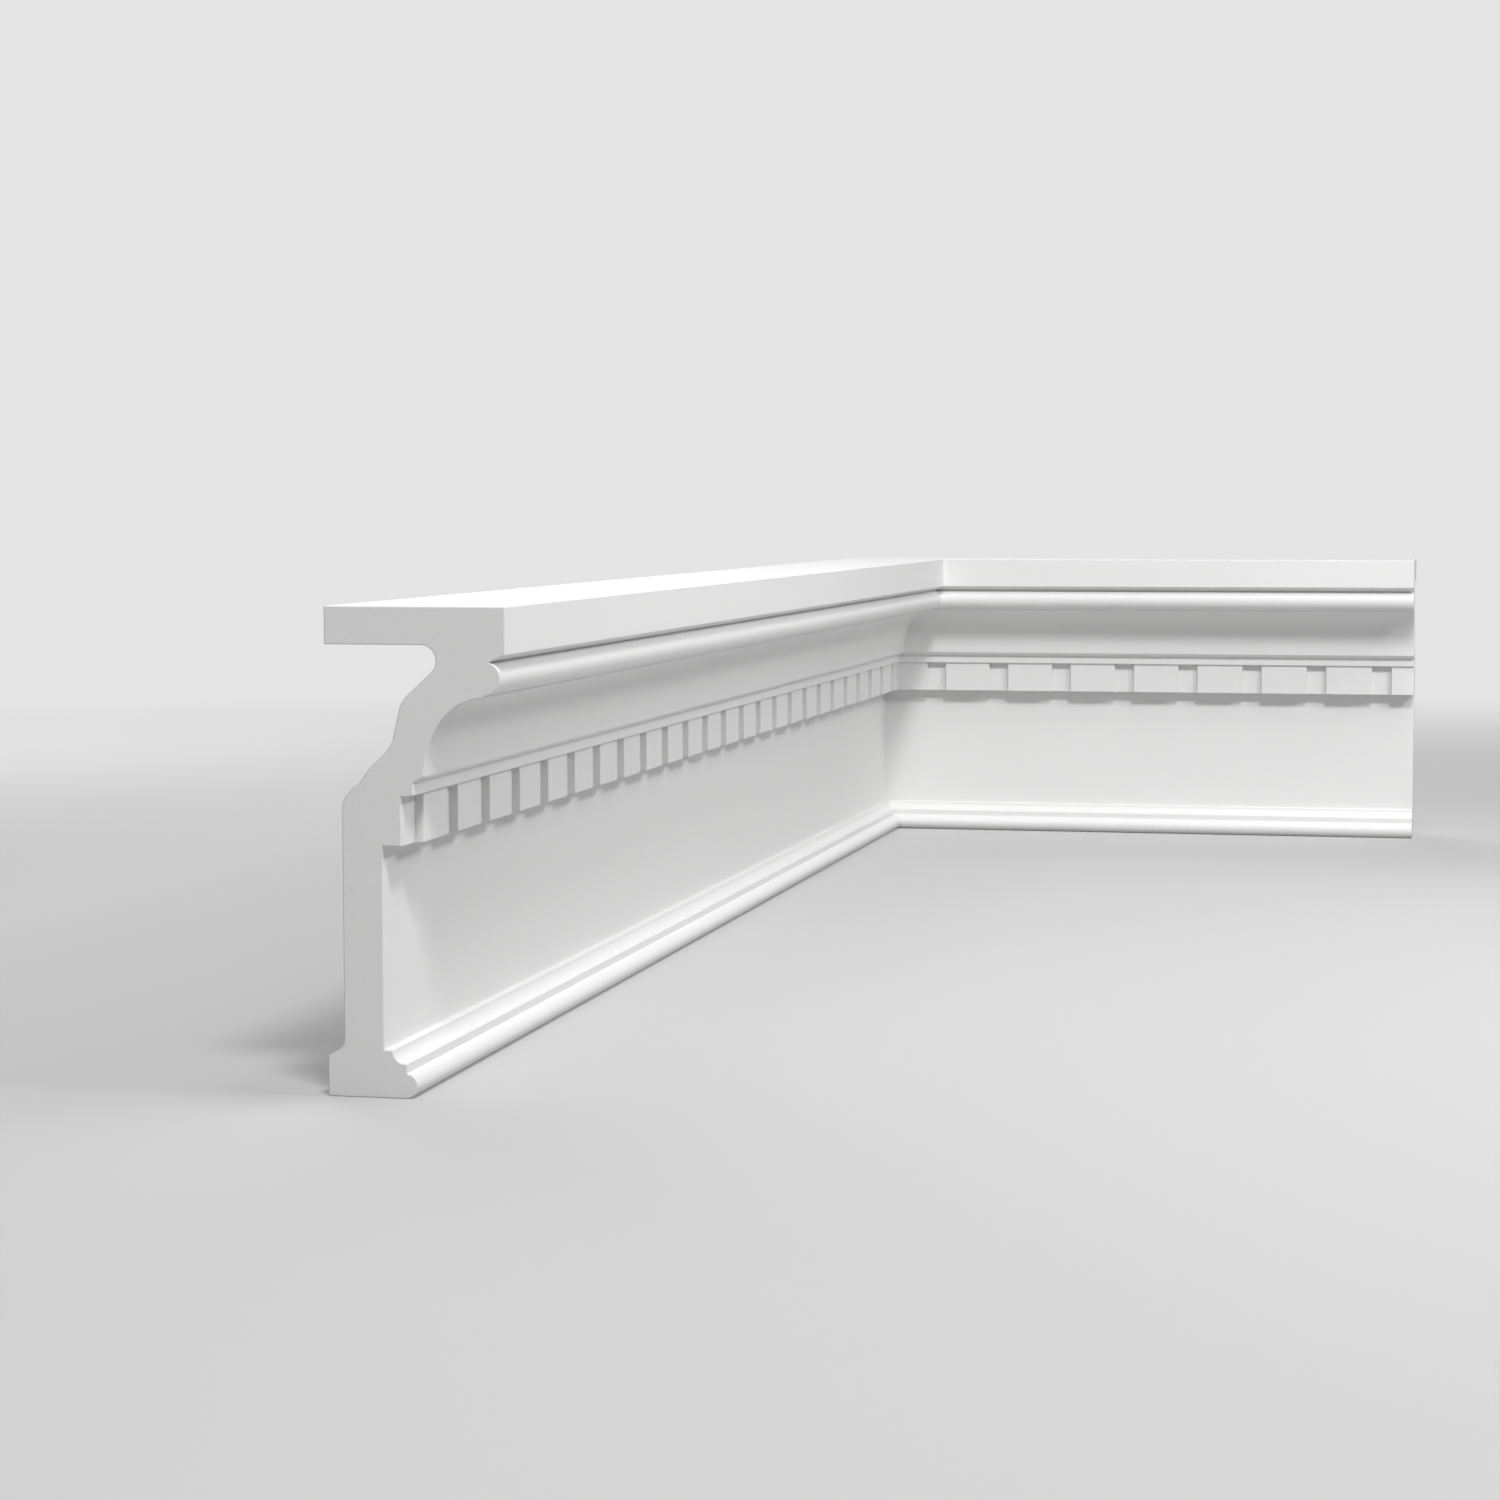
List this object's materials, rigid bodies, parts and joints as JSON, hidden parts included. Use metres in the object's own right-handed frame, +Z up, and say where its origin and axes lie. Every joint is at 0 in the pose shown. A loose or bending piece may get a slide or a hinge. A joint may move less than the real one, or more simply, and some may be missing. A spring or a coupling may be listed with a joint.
{
  "type": "wall moulding",
  "caption": "Hollow-backed entablature moulding with fascia, bead, cove, dentil band, plain field and beaded foot, mitred round an inner corner.",
  "frame": {"origin": "middle of the L-shaped plan's box, on the underside of the foot", "axes": "+Z up, +Y along the long run from its square end to the inner corner, +X along the short return away from the corner; the open backs face -X and +Y"},
  "size_m": [0.41, 1.175, 0.2],
  "materials": {
    "white_primer": "matt white factory primer on rigid polyurethane foam"
  },
  "bodies": {
    "root": {"long_run": "white_primer", "short_return": "white_primer"}
  },
  "joints": []
}
